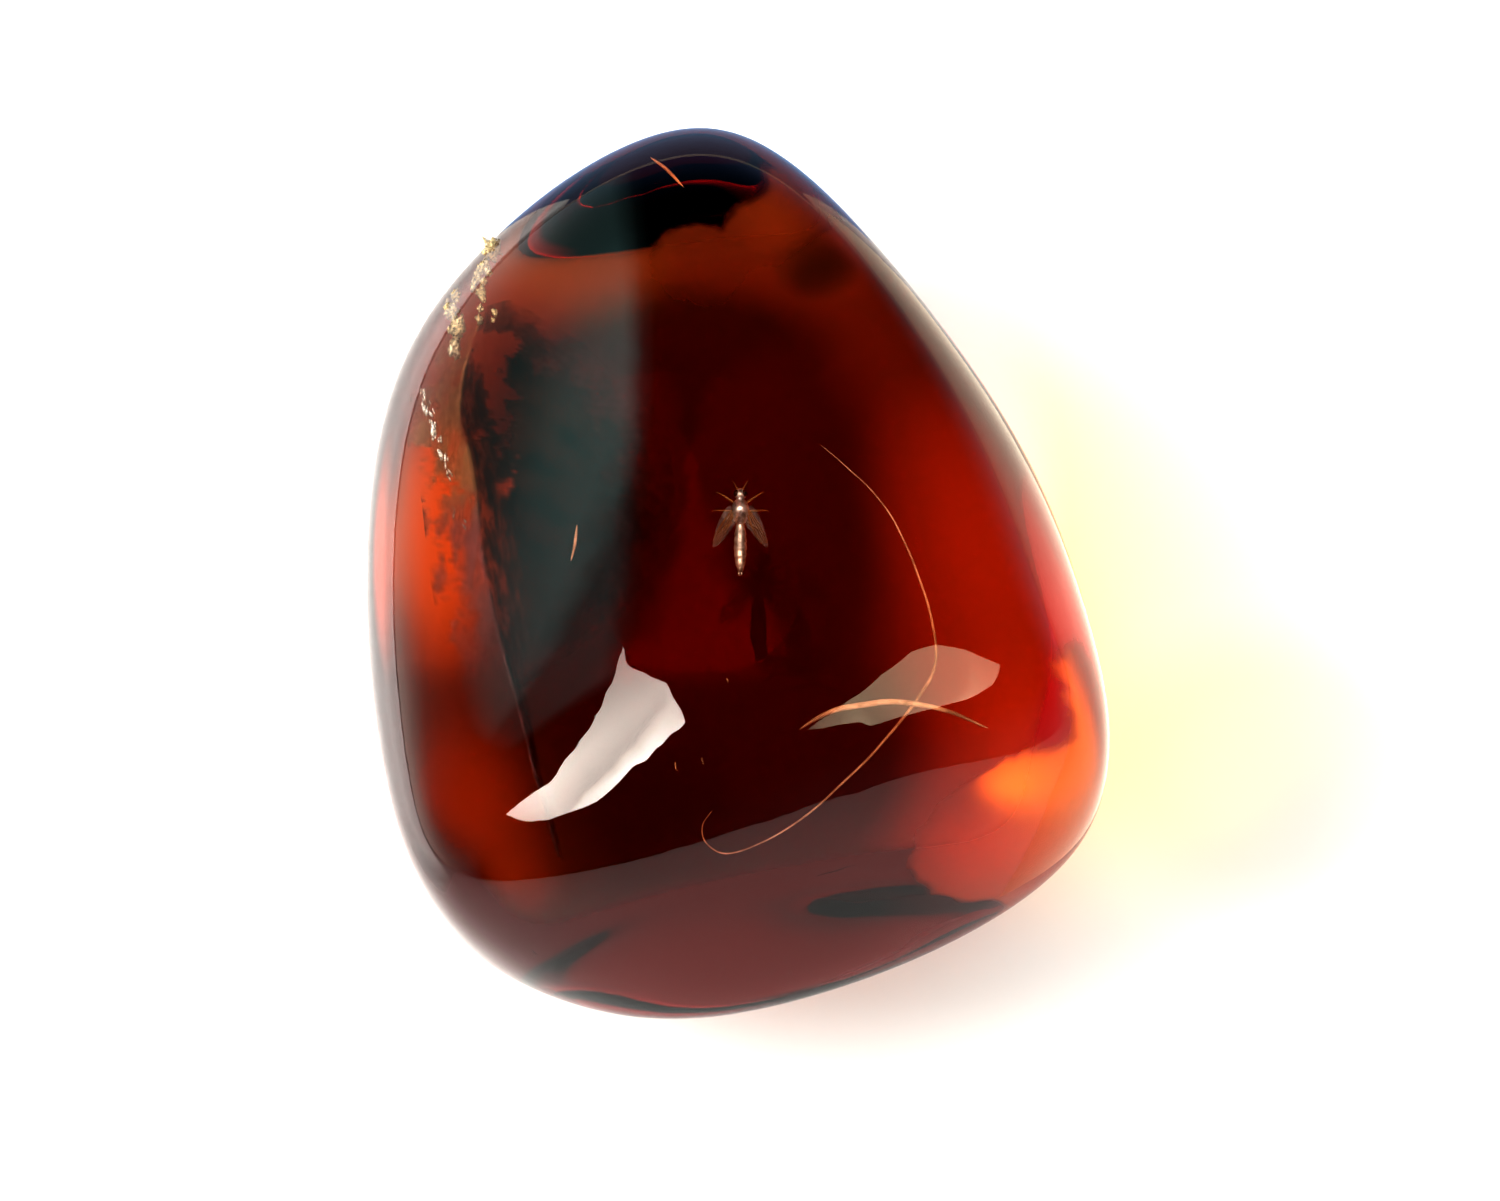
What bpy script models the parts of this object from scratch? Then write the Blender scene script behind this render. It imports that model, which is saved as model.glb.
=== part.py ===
"""An insect in amber: a small gnat and four stray fibres sealed in a tumbled amber pebble.

The pebble is one natural lump, 24 mm long. To seal its inclusions it is parted along a
shallow dome a little under its crown, and each inclusion has a pocket that opens on that
parting. Metres, +Z up. The pebble rests on its foot at z = 0, with its long way along Y
and its narrow end at +Y, and the middle of its box stands over the origin.
"""

import math

import bmesh
import bpy
import numpy as np
from mathutils import Vector

MM = 0.001

# ---- Driving dimensions of the pebble -------------------------------------------------
# A tumbled pebble is a faceted lump with its edges worn round. Each facet is a plane:
# the compass direction it faces (degrees from +X), how far it faces up (degrees), and
# its distance from the pebble's middle (mm).
FACETS = {
    "narrow end, right side": (40, 0, 9.4),
    "right side": (12, 0, 9.5),
    "broad end, right side": (-46, 0, 11.4),
    "broad end, left side": (-114, 0, 11.4),
    "left side, lower": (196, 0, 10.1),
    "left side": (175, 0, 10.0),
    "narrow end, left side": (135, 0, 11.7),
    "front slope": (-70, 40, 8.1),
    "left slope": (157, 63, 8.8),
    "right slope": (23, 51, 9.0),
    "back slope": (94, 42, 12.2),
    "right underside": (10, -58, 6.9),
    "back underside": (95, -38, 10.5),
    "left underside": (185, -52, 7.9),
    "front underside": (-82, -58, 6.5),
    "crown": (89, 83, 6.9),
    "base": (-90, -90, 5.6),
}
EDGE_SHARPNESS = 10               # exponent: larger gives flatter facets and tighter edges
PEBBLE_MIDDLE = Vector((-0.31, -1.20, 5.5)) * MM    # 0.1 mm of the base is worn to the foot
PEBBLE_DETAIL = 5                 # subdivisions of the starting icosphere

# ---- Parting dome ---------------------------------------------------------------------
DOME_MIDDLE = Vector((0.0, 0.0, -5.0)) * MM
DOME_RADIUS = 16.0 * MM           # its top is at z = 11, some 1.3 mm under the crown
PARTING_GAP = 0.3 * MM
DOME_DETAIL = 4

# ---- Fibres: plan points (mm), and how far each runs above or below the parting's middle
FIBRE_RADIUS = 0.06 * MM
TUBE_CLEARANCE = 0.36 * MM        # round a fibre, in its pocket
LONG_THREAD = ((2.1, 2.4), (2.7, 1.85), (3.55, 0.95), (4.1, 0.0), (4.45, -0.9), (4.75, -1.85),
               (4.9, -2.7), (4.8, -3.25), (4.45, -3.7), (3.95, -4.25), (3.45, -4.8),
               (2.45, -5.8), (1.45, -6.7), (0.4, -7.3), (-0.5, -7.5), (-1.05, -7.15),
               (-1.15, -6.7), (-0.9, -6.35))
LONG_THREAD_LIFT = -0.35 * MM     # it passes under the cross fibre
CROSS_FIBRE = ((1.45, -4.75), (2.1, -4.4), (2.75, -4.2), (4.0, -4.0), (5.25, -4.1), (6.25, -4.4))
CROSS_FIBRE_LIFT = 0.2 * MM
TOP_FIBRE = ((-2.15, 10.2), (-1.8, 9.95), (-1.4, 9.5))
SIDE_FIBRE = ((-4.1, 0.25), (-4.15, -0.2), (-4.25, -0.7))

# ---- Gnat: head towards +Y, its back up, wings half spread ----------------------------
GNAT_PLACE = (0.05, 0.05)         # plan place of the thorax's rear edge (mm)
HEAD_RADIUS = 0.16
THORAX_HALF = Vector((0.23, 0.36, 0.24))
THORAX_Y = 0.50
HEAD_Y = 0.96
ABDOMEN_HALF = Vector((0.17, 0.72, 0.16))
ABDOMEN_Y = -0.42
WING_LENGTH = 1.25
WING_WIDTH = 0.42
WING_THICKNESS = 0.06
WING_ROOT = Vector((0.12, 0.62, 0.16))
WING_SPREAD = 28                  # degrees off the body's line
LEG_RADIUS = 0.035
LEG_ROOTS_Y = (0.70, 0.50, 0.28)
LEG_TURNS = (35, 5, -35)          # degrees ahead (+) or behind (-) of straight out
LEG_THIGH = 0.40
LEG_SHIN = 0.38
FEELER_RADIUS = 0.03
FEELER_LENGTH = 0.34
GNAT_POCKET_HALF = Vector((1.25, 1.75, 0.85)) * MM
GNAT_POCKET_Y = 0.05 * MM         # the pocket's middle, ahead of GNAT_PLACE


def remove_everything():
    for thing in list(bpy.data.objects):
        bpy.data.objects.remove(thing)


def new_collection(name):
    collection = bpy.data.collections.new(name)
    bpy.context.scene.collection.children.link(collection)
    return collection


def material(name, colour, roughness, transmission=0.0):
    """A Principled material of one colour (linear RGB)."""
    made = bpy.data.materials.new(name)
    made.use_nodes = True
    shader = made.node_tree.nodes["Principled BSDF"]
    shader.inputs["Base Color"].default_value = (*colour, 1.0)
    shader.inputs["Roughness"].default_value = roughness
    shader.inputs["Metallic"].default_value = 0.0
    shader.inputs["Transmission Weight"].default_value = transmission
    shader.inputs["IOR"].default_value = 1.54
    made.diffuse_color = (*colour, 1.0)
    return made


def object_from_bmesh(name, shape, collection, finish=None):
    mesh = bpy.data.meshes.new(name)
    shape.to_mesh(mesh)
    shape.free()
    if finish:
        mesh.materials.append(finish)
    made = bpy.data.objects.new(name, mesh)
    collection.objects.link(made)
    return made


def as_cutter(thing):
    thing.hide_render = True
    thing.display_type = "WIRE"
    return thing


def add_boolean(thing, operation, tool=None, tools=None):
    cut = thing.modifiers.new(operation.lower(), "BOOLEAN")
    cut.operation = operation
    cut.solver = "EXACT"
    if tools:
        cut.operand_type = "COLLECTION"
        cut.collection = tools
    else:
        cut.object = tool


# ---- The pebble -----------------------------------------------------------------------

def facet_planes():
    """Unit normals (n by 3) and distances in metres (n) of the facets."""
    table = np.array(list(FACETS.values()), dtype=float)
    turn = np.radians(table[:, 0])
    rise = np.radians(table[:, 1])
    normals = np.stack((np.cos(rise) * np.cos(turn), np.cos(rise) * np.sin(turn), np.sin(rise)), 1)
    return normals, table[:, 2] * MM


def pebble_reach(directions):
    """Distance from the pebble's middle to its skin, along each unit direction.

    A plane of distance h, seen along u, is h / (u . n) away. The nearest plane alone
    gives a sharp-edged solid; summing the inverse distances to a high power rounds
    its edges off smoothly.
    """
    normals, distances = facet_planes()
    closeness = np.clip(directions @ normals.T, 0.0, None) / distances
    return (closeness ** EDGE_SHARPNESS).sum(axis=1) ** (-1.0 / EDGE_SHARPNESS)


def pebble_shape():
    """The pebble as a bmesh, with its worn foot cut flat at z = 0."""
    shape = bmesh.new()
    bmesh.ops.create_icosphere(shape, subdivisions=PEBBLE_DETAIL, radius=1.0)
    directions = np.array([vert.co.normalized() for vert in shape.verts])
    for vert, direction, reach in zip(shape.verts, directions, pebble_reach(directions)):
        vert.co = PEBBLE_MIDDLE + Vector(direction) * reach
    everything = shape.verts[:] + shape.edges[:] + shape.faces[:]
    cut = bmesh.ops.bisect_plane(shape, geom=everything, dist=1e-7, plane_co=(0, 0, 0),
                                 plane_no=(0, 0, 1), clear_inner=True)
    rim = [item for item in cut["geom_cut"] if isinstance(item, bmesh.types.BMEdge)]
    bmesh.ops.contextual_create(shape, geom=rim)
    bmesh.ops.recalc_face_normals(shape, faces=shape.faces[:])
    return shape


def dome_ball(name, radius, cutters):
    shape = bmesh.new()
    bmesh.ops.create_icosphere(shape, subdivisions=DOME_DETAIL, radius=radius)
    bmesh.ops.translate(shape, verts=shape.verts[:], vec=DOME_MIDDLE)
    return as_cutter(object_from_bmesh(name, shape, cutters))


def make_pebble_halves(finish, parts, cutters, pockets):
    """The amber below the parting dome, and the meniscus of amber above it."""
    lower = object_from_bmesh("amber_lower", pebble_shape(), parts, finish)
    upper = object_from_bmesh("amber_upper", pebble_shape(), parts, finish)
    add_boolean(lower, "INTERSECT", tool=dome_ball("dome_under", DOME_RADIUS, cutters))
    add_boolean(upper, "DIFFERENCE", tool=dome_ball("dome_over", DOME_RADIUS + PARTING_GAP, cutters))
    for half in (lower, upper):
        add_boolean(half, "DIFFERENCE", tools=pockets)
        half.data.shade_smooth()
        half.data.set_sharp_from_angle(angle=math.radians(35))


# ---- Fibres ---------------------------------------------------------------------------

def on_parting(x_mm, y_mm, lift=0.0):
    """The point over a plan place (mm) that lies in the middle of the parting, plus lift."""
    reach = DOME_RADIUS + PARTING_GAP / 2 + lift
    x = x_mm * MM - DOME_MIDDLE.x
    y = y_mm * MM - DOME_MIDDLE.y
    return Vector((x, y, math.sqrt(reach ** 2 - x ** 2 - y ** 2))) + DOME_MIDDLE


def tube(name, points, radius, collection, finish=None, detail=2):
    """A round tube with closed ends along a chain of points, as a welded mesh."""
    curve = bpy.data.curves.new(name, "CURVE")
    curve.dimensions = "3D"
    curve.bevel_depth = radius
    curve.bevel_resolution = detail
    curve.use_fill_caps = True
    spline = curve.splines.new("POLY")
    spline.points.add(len(points) - 1)
    for place, point in zip(spline.points, points):
        place.co = (*point, 1.0)
    guide = bpy.data.objects.new(name + "_guide", curve)
    collection.objects.link(guide)
    bpy.context.view_layer.update()
    evaluated = guide.evaluated_get(bpy.context.evaluated_depsgraph_get())
    mesh = bpy.data.meshes.new_from_object(evaluated)
    matrix = guide.matrix_world.copy()
    bpy.data.objects.remove(guide)
    shape = bmesh.new()
    shape.from_mesh(mesh)
    bmesh.ops.remove_doubles(shape, verts=shape.verts[:], dist=1e-7)
    bmesh.ops.recalc_face_normals(shape, faces=shape.faces[:])
    bpy.data.meshes.remove(mesh)
    made = object_from_bmesh(name, shape, collection, finish)
    made.matrix_world = matrix
    return made


def lengthened(points, extra):
    """The same chain with both ends carried on straight by extra."""
    first = points[0] + (points[0] - points[1]).normalized() * extra
    last = points[-1] + (points[-1] - points[-2]).normalized() * extra
    return [first, *points[1:-1], last]


def make_fibre(name, plan, lift, finish, parts, pockets):
    """A fibre that follows the parting dome, and the pocket cutter that clears it."""
    route = [on_parting(x, y, lift) for x, y in plan]
    fibre = tube(name, route, FIBRE_RADIUS, parts, finish)
    fibre.data.shade_smooth()
    pocket = tube(name + "_pocket", lengthened(route, TUBE_CLEARANCE),
                  FIBRE_RADIUS + TUBE_CLEARANCE, pockets)
    as_cutter(pocket)


# ---- The gnat, modelled in mm about its own place, then set in the parting ------------

def gnat_point(x, y, z):
    return on_parting(*GNAT_PLACE) + Vector((x, y, z)) * MM


def gnat_ball(name, middle, half_sizes, detail, collection):
    """An egg shape: an icosphere stretched to its half sizes (mm)."""
    shape = bmesh.new()
    bmesh.ops.create_icosphere(shape, subdivisions=detail, radius=1.0)
    bmesh.ops.scale(shape, verts=shape.verts[:], vec=Vector(half_sizes) * MM)
    bmesh.ops.translate(shape, verts=shape.verts[:], vec=gnat_point(*middle))
    return object_from_bmesh(name, shape, collection)


def gnat_wing(name, side, collection):
    """A wing blade: a flat ellipse, its root buried in the thorax and its tip swung back."""
    shape = bmesh.new()
    bmesh.ops.create_cone(shape, segments=20, radius1=0.5, radius2=0.5, depth=1.0,
                          cap_ends=True, cap_tris=False)
    bmesh.ops.scale(shape, verts=shape.verts[:],
                    vec=Vector((WING_WIDTH, WING_LENGTH, WING_THICKNESS)) * MM)
    spread = math.radians(WING_SPREAD)
    back = Vector((side * math.sin(spread), -math.cos(spread), -0.10)).normalized()
    across = Vector((0, 0, 1)).cross(back).normalized()
    up = back.cross(across)
    root = Vector((side * WING_ROOT.x, WING_ROOT.y, WING_ROOT.z))
    middle = gnat_point(*(root + back * WING_LENGTH / 2))
    for vert in shape.verts:
        vert.co = middle + across * vert.co.x + back * vert.co.y + up * vert.co.z
    bmesh.ops.recalc_face_normals(shape, faces=shape.faces[:])
    return object_from_bmesh(name, shape, collection)


def gnat_limb(name, points, radius, collection):
    return tube(name, [gnat_point(*point) for point in points], radius * MM, collection, detail=1)


def gnat_leg(name, side, root_y, turn, collection):
    """Thigh out to a knee beside the body, then a shin folded down and in."""
    ahead = math.radians(turn)
    out = Vector((side * math.cos(ahead), math.sin(ahead), 0.0))
    hip = Vector((side * 0.10, root_y, -0.14))
    knee = hip + out * LEG_THIGH + Vector((0, 0, 0.02))
    foot = knee + out * LEG_SHIN * 0.55 + Vector((0, 0, -LEG_SHIN * 0.62))
    return gnat_limb(name, (hip, knee, foot), LEG_RADIUS, collection)


def make_gnat(finish, parts, pieces, pockets):
    """Head, thorax, abdomen, two wings, six legs and two feelers, joined in one solid."""
    thorax = gnat_ball("gnat", (0, THORAX_Y, 0.02), THORAX_HALF, 3, parts)
    thorax.data.materials.append(finish)
    gnat_ball("gnat_head", (0, HEAD_Y, -0.02), (HEAD_RADIUS,) * 3, 3, pieces)
    gnat_ball("gnat_abdomen", (0, ABDOMEN_Y, -0.02), ABDOMEN_HALF, 3, pieces)
    for side, word in ((-1, "left"), (1, "right")):
        gnat_wing(f"gnat_wing_{word}", side, pieces)
        tip = (side * FEELER_LENGTH * 0.55, HEAD_Y + FEELER_LENGTH, 0.06)
        gnat_limb(f"gnat_feeler_{word}", ((side * 0.05, HEAD_Y + 0.05, 0.0), tip),
                  FEELER_RADIUS, pieces)
        for number, (root_y, turn) in enumerate(zip(LEG_ROOTS_Y, LEG_TURNS), start=1):
            gnat_leg(f"gnat_leg_{word}_{number}", side, root_y, turn, pieces)
    for piece in pieces.objects:
        as_cutter(piece)
        add_boolean(thorax, "UNION", tool=piece)
    thorax.data.shade_smooth()

    pocket = bmesh.new()
    bmesh.ops.create_icosphere(pocket, subdivisions=3, radius=1.0)
    bmesh.ops.scale(pocket, verts=pocket.verts[:], vec=GNAT_POCKET_HALF)
    place = on_parting(*GNAT_PLACE) + Vector((0, GNAT_POCKET_Y, 0))
    bmesh.ops.translate(pocket, verts=pocket.verts[:], vec=place)
    as_cutter(object_from_bmesh("gnat_pocket", pocket, pockets))


def main():
    remove_everything()
    parts = new_collection("insect in amber")
    cutters = new_collection("parting cutters")
    pockets = new_collection("pocket cutters")
    gnat_pieces = new_collection("gnat pieces")

    amber = material("cherry amber", (0.45, 0.06, 0.01), 0.05, transmission=1.0)
    chitin = material("gnat, silvered brown", (0.45, 0.33, 0.22), 0.35)
    fibre = material("plant fibre", (0.75, 0.45, 0.25), 0.6)

    make_fibre("long_thread", LONG_THREAD, LONG_THREAD_LIFT, fibre, parts, pockets)
    make_fibre("cross_fibre", CROSS_FIBRE, CROSS_FIBRE_LIFT, fibre, parts, pockets)
    make_fibre("top_fibre", TOP_FIBRE, 0.0, fibre, parts, pockets)
    make_fibre("side_fibre", SIDE_FIBRE, 0.0, fibre, parts, pockets)
    make_gnat(chitin, parts, gnat_pieces, pockets)
    make_pebble_halves(amber, parts, cutters, pockets)


main()
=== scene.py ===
# %% [markdown]
# # An insect in amber
#
# Amber is fossil tree resin. This piece is a pebble of it, 24 mm long, tumbled and
# polished until its facets ran into each other. It is so dark that it looks black in the
# middle and glows cherry red and orange only where light gets through its flanks. A gnat
# and a few stray fibres lie just under its crown.
#
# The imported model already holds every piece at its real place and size. This script gives
# each one its finish, and swaps the coarse solids for fine ones of the same form.

# %% Load the frame
import math

import bmesh
import bpy
import numpy as np
from mathutils import Matrix, Vector, noise


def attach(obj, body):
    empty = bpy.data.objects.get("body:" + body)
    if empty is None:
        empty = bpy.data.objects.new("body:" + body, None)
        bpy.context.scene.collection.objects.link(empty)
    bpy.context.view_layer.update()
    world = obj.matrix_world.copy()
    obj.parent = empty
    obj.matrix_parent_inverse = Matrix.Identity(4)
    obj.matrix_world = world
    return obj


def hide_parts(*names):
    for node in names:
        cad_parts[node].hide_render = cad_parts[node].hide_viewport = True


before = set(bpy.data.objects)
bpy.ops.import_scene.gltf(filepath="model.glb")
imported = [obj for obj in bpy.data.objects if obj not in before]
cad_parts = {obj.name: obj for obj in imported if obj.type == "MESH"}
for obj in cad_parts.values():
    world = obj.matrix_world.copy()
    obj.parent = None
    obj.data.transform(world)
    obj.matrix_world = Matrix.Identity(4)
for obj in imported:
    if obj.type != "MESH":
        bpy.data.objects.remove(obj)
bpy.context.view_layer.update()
MM = 0.001
print("nodes:", sorted(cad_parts))


# %% [markdown]
# ## Helpers
#
# Colours are picked as sRGB hex, the way a colour picker shows them, but Cycles works in
# linear light, so one function turns hex to linear. Another adds a shader node with its
# settings and its links in one call, which keeps each material short.

# %% Colours, nodes and objects
def colour(code):
    """'#rrggbb' as linear red, green, blue and 1."""
    parts = [int(code[i:i + 2], 16) / 255 for i in (1, 3, 5)]
    linear = [c / 12.92 if c <= 0.04045 else ((c + 0.055) / 1.055) ** 2.4 for c in parts]
    return (*linear, 1.0)


def add(tree, kind, settings=None, links=None, **values):
    """A node of one kind: values are its own properties, settings its sockets' numbers,
    links its sockets' sources."""
    node = tree.nodes.new(kind)
    for name, value in values.items():
        setattr(node, name, value)
    for socket, value in (settings or {}).items():
        node.inputs[socket].default_value = value
    for socket, source in (links or {}).items():
        tree.links.new(source, node.inputs[socket])
    return node


def new_material(name):
    """An empty material and its node tree."""
    made = bpy.data.materials.new(name)
    made.use_nodes = True
    made.node_tree.nodes.clear()
    return made, made.node_tree


def object_from(shape, name, *finishes):
    """The bmesh as a smooth object at the origin. The bmesh is used up."""
    mesh = bpy.data.meshes.new(name)
    shape.to_mesh(mesh)
    shape.free()
    for finish in finishes:
        mesh.materials.append(finish)
    mesh.shade_smooth()
    made = bpy.data.objects.new(name, mesh)
    bpy.context.scene.collection.objects.link(made)
    return made


def belongs(piece, slot, *nodes):
    """The piece rides on the one body and may stand for CAD nodes. slot is not used."""
    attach(piece, "root")
    if nodes:
        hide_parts(*nodes)
    print(f"{piece.name}: {len(piece.data.polygons)} faces")


# %% [markdown]
# ## The camera
#
# The pebble is looked at from almost straight above, through a long lens, so its outline
# has hardly any perspective. The lens is 100 mm on a 36 mm wide sensor, which needs
# 113 mm of distance for a view 40.6 mm wide.

# %% Camera
VIEW_WIDTH = 40.6 * MM
LENS_MM = 100.0
SENSOR_MM = 36.0
VIEW_ELEVATION = math.radians(80)
LOOK_AT = Vector((0.30, -0.66, 5.5)) * MM

towards_camera = Vector((0.0, -math.cos(VIEW_ELEVATION), math.sin(VIEW_ELEVATION)))
camera = bpy.data.objects.new("camera", bpy.data.cameras.new("camera"))
bpy.context.scene.collection.objects.link(camera)
camera.data.lens = LENS_MM
camera.data.sensor_width = SENSOR_MM
camera.data.clip_start = 5 * MM
camera.data.clip_end = 10.0
camera.location = LOOK_AT + towards_camera * (VIEW_WIDTH * LENS_MM / SENSOR_MM)
camera.rotation_euler = towards_camera.to_track_quat("Z", "Y").to_euler()
bpy.context.scene.camera = camera
print("camera stands", round((camera.location - LOOK_AT).length / MM), "mm away")


# %% [markdown]
# ## The pebble
#
# A tumbled pebble is a lump of flat facets whose edges wore round. It could be a cube
# rounded with Bevel, or a sphere pushed about by hand. A formula does it better: take the
# distance to each facet's plane along a direction, and blend those distances with a high
# power, which keeps the facets flat and rounds every edge between them. The same facet
# table drives the CAD solid, so this fine skin lies exactly on the coarse one.

# %% Facets: compass direction, rise above level (degrees), distance (mm)
FACETS = {
    "narrow end, right side": (40, 0, 9.4),
    "right side": (12, 0, 9.5),
    "broad end, right side": (-46, 0, 11.4),
    "broad end, left side": (-114, 0, 11.4),
    "left side, lower": (196, 0, 10.1),
    "left side": (175, 0, 10.0),
    "narrow end, left side": (135, 0, 11.7),
    "front slope": (-70, 40, 8.1),
    "left slope": (157, 63, 8.8),
    "right slope": (23, 51, 9.0),
    "back slope": (94, 42, 12.2),
    "right underside": (10, -58, 6.9),
    "back underside": (95, -38, 10.5),
    "left underside": (185, -52, 7.9),
    "front underside": (-82, -58, 6.5),
    "crown": (89, 83, 6.9),
    "base": (-90, -90, 5.6),
}
EDGE_SHARPNESS = 10
PEBBLE_MIDDLE = Vector((-0.31, -1.20, 5.5)) * MM
PEBBLE_DETAIL = 7                 # icosphere subdivisions: about 82,000 faces

facet_table = np.array(list(FACETS.values()), dtype=float)
facet_turn, facet_rise = np.radians(facet_table[:, 0]), np.radians(facet_table[:, 1])
FACET_NORMALS = np.stack((np.cos(facet_rise) * np.cos(facet_turn),
                          np.cos(facet_rise) * np.sin(facet_turn), np.sin(facet_rise)), 1)
FACET_DISTANCES = facet_table[:, 2] * MM
print(len(FACETS), "facets")


# %% The pebble's skin
def skin_reach(directions):
    """Distance from the pebble's middle to its skin along unit directions (n by 3)."""
    closeness = np.clip(directions @ FACET_NORMALS.T, 0.0, None) / FACET_DISTANCES
    return (closeness ** EDGE_SHARPNESS).sum(axis=1) ** (-1.0 / EDGE_SHARPNESS)


def pebble_shape(detail):
    shape = bmesh.new()
    bmesh.ops.create_icosphere(shape, subdivisions=detail, radius=1.0)
    directions = np.array([vert.co.normalized() for vert in shape.verts])
    for vert, direction, reach in zip(shape.verts, directions, skin_reach(directions)):
        vert.co = PEBBLE_MIDDLE + Vector(direction) * reach
    return shape


def cut_foot(shape):
    """The worn flat that the pebble lies on, at z = 0."""
    everything = shape.verts[:] + shape.edges[:] + shape.faces[:]
    cut = bmesh.ops.bisect_plane(shape, geom=everything, dist=1e-8, plane_co=(0, 0, 0),
                                 plane_no=(0, 0, 1), clear_inner=True)
    rim = [item for item in cut["geom_cut"] if isinstance(item, bmesh.types.BMEdge)]
    bmesh.ops.contextual_create(shape, geom=rim)
    bmesh.ops.recalc_face_normals(shape, faces=shape.faces[:])


pebble = pebble_shape(PEBBLE_DETAIL)
cut_foot(pebble)
print("pebble:", len(pebble.faces), "faces")


# %% [markdown]
# ## Amber
#
# Polished amber is a clear solid with an index of 1.54 and hardly any roughness. Its
# colour isn't on its surface: the resin drinks blue first, then green, and red last, so a
# thin edge is orange and a thick middle is nearly black. A surface painted dark red would
# look the same thick or thin, so the colour is left to a Volume Absorption shader. Its
# strength is worked out from how much of each colour gets through 1 mm.
#
# The tumbler left a few frosted patches on the underside. Frost spreads the light that
# comes up through it, so each patch shows from above as a soft orange stain. Roughness
# rises within a distance of each patch's middle, and noise makes that distance ragged. The
# polish also follows slow waves in the skin, which a very weak Bump gives: a reflection's
# edge then wanders a little, as on a real stone.

# %% Amber, tumbled and polished
AMBER_IOR = 1.54
THROUGH_ONE_MM = (0.914, 0.76, 0.62)       # share of red, green and blue left after 1 mm

FROSTED = {                       # unpolished patches: middle and radius in mm
    "underside of the broad end": ((6.1, -4.4, 1.3), 2.5),
    "underside of the narrow end, right": ((0.4, 8.7, 1.3), 0.9),
    "underside of the narrow end, left": ((-1.0, 8.1, 0.9), 1.1),
}
FROST_ROUGHNESS = 0.6

losses = [-math.log(share) / MM for share in THROUGH_ONE_MM]
absorption_density = 1.02 * max(losses)
absorption_colour = [1 - loss / absorption_density for loss in losses]
print("absorption per mm:", [round(loss * MM, 3) for loss in losses])


def make_amber():
    """A clear polished skin over resin that drinks blue and green: dark cherry to the eye."""
    made, tree = new_material("amber, tumbled and polished")
    place = add(tree, "ShaderNodeTexCoord")
    ragged = add(tree, "ShaderNodeTexNoise", {"Scale": 1 / (0.9 * MM), "Detail": 4.0},
                 {"Vector": place.outputs["Object"]})
    rough = None
    for middle, radius in FROSTED.values():
        away = add(tree, "ShaderNodeVectorMath", {1: Vector(middle) * MM},
                   {0: place.outputs["Object"]}, operation="DISTANCE")
        reach = add(tree, "ShaderNodeMath", {1: 0.8 * MM},
                    {0: ragged.outputs["Fac"], 2: away.outputs["Value"]}, operation="MULTIPLY_ADD")
        frost = add(tree, "ShaderNodeMapRange", {
            "From Min": (radius + 0.55) * MM, "From Max": (radius + 0.25) * MM,
            "To Min": 0.0, "To Max": FROST_ROUGHNESS}, {"Value": reach.outputs[0]})
        rough = frost if rough is None else add(tree, "ShaderNodeMath", operation="MAXIMUM", links={
            0: rough.outputs[0], 1: frost.outputs[0]})
    waves = add(tree, "ShaderNodeTexNoise", {"Scale": 1 / (2.2 * MM), "Detail": 2.0},
                {"Vector": place.outputs["Object"]})
    wavy = add(tree, "ShaderNodeBump", {"Strength": 0.35, "Distance": 0.02 * MM},
               {"Height": waves.outputs["Fac"]})
    skin = add(tree, "ShaderNodeBsdfPrincipled", {
        "Base Color": (1, 1, 1, 1), "Transmission Weight": 1.0, "IOR": AMBER_IOR},
        {"Roughness": rough.outputs[0], "Normal": wavy.outputs["Normal"]})
    body = add(tree, "ShaderNodeVolumeAbsorption", {
        "Color": (*absorption_colour, 1.0), "Density": absorption_density})
    add(tree, "ShaderNodeOutputMaterial",
        links={"Surface": skin.outputs[0], "Volume": body.outputs[0]})
    return made


amber = object_from(pebble, "amber_pebble", make_amber())
belongs(amber, "amber", "amber_lower", "amber_upper")


# %% [markdown]
# ## Where things lie in the resin
#
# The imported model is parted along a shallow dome, and everything sealed in the amber lies
# on it. The same dome places the fine versions of those pieces, so each one stays exactly
# where its coarse solid is.

# %% The parting dome
DOME_MIDDLE = Vector((0, 0, -5.0)) * MM
DOME_RADIUS = 16.0 * MM
PARTING_GAP = 0.3 * MM


def on_parting(x_mm, y_mm, lift=0.0):
    """The point over a plan place (mm) in the middle of the parting, plus lift."""
    reach = DOME_RADIUS + PARTING_GAP / 2 + lift
    x = x_mm * MM - DOME_MIDDLE.x
    y = y_mm * MM - DOME_MIDDLE.y
    return Vector((x, y, math.sqrt(reach ** 2 - x ** 2 - y ** 2))) + DOME_MIDDLE


print("dome over the middle:", round(on_parting(0, 0).z / MM, 2), "mm up")


# %% [markdown]
# ## Tubes and eggs
#
# A hair, a leg and a feeler are all thin tubes that taper. One ring of vertices is
# extruded from point to point along a path, turned and scaled as it goes, and closed at
# both ends. Bodies are stretched spheres. Both go into whatever bmesh is being built, and
# note their finish as a material index.

# %% Tubes and eggs
def finish_new_faces(shape, first_face, index):
    shape.faces.ensure_lookup_table()
    for face in shape.faces[first_face:]:
        face.material_index = index


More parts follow.
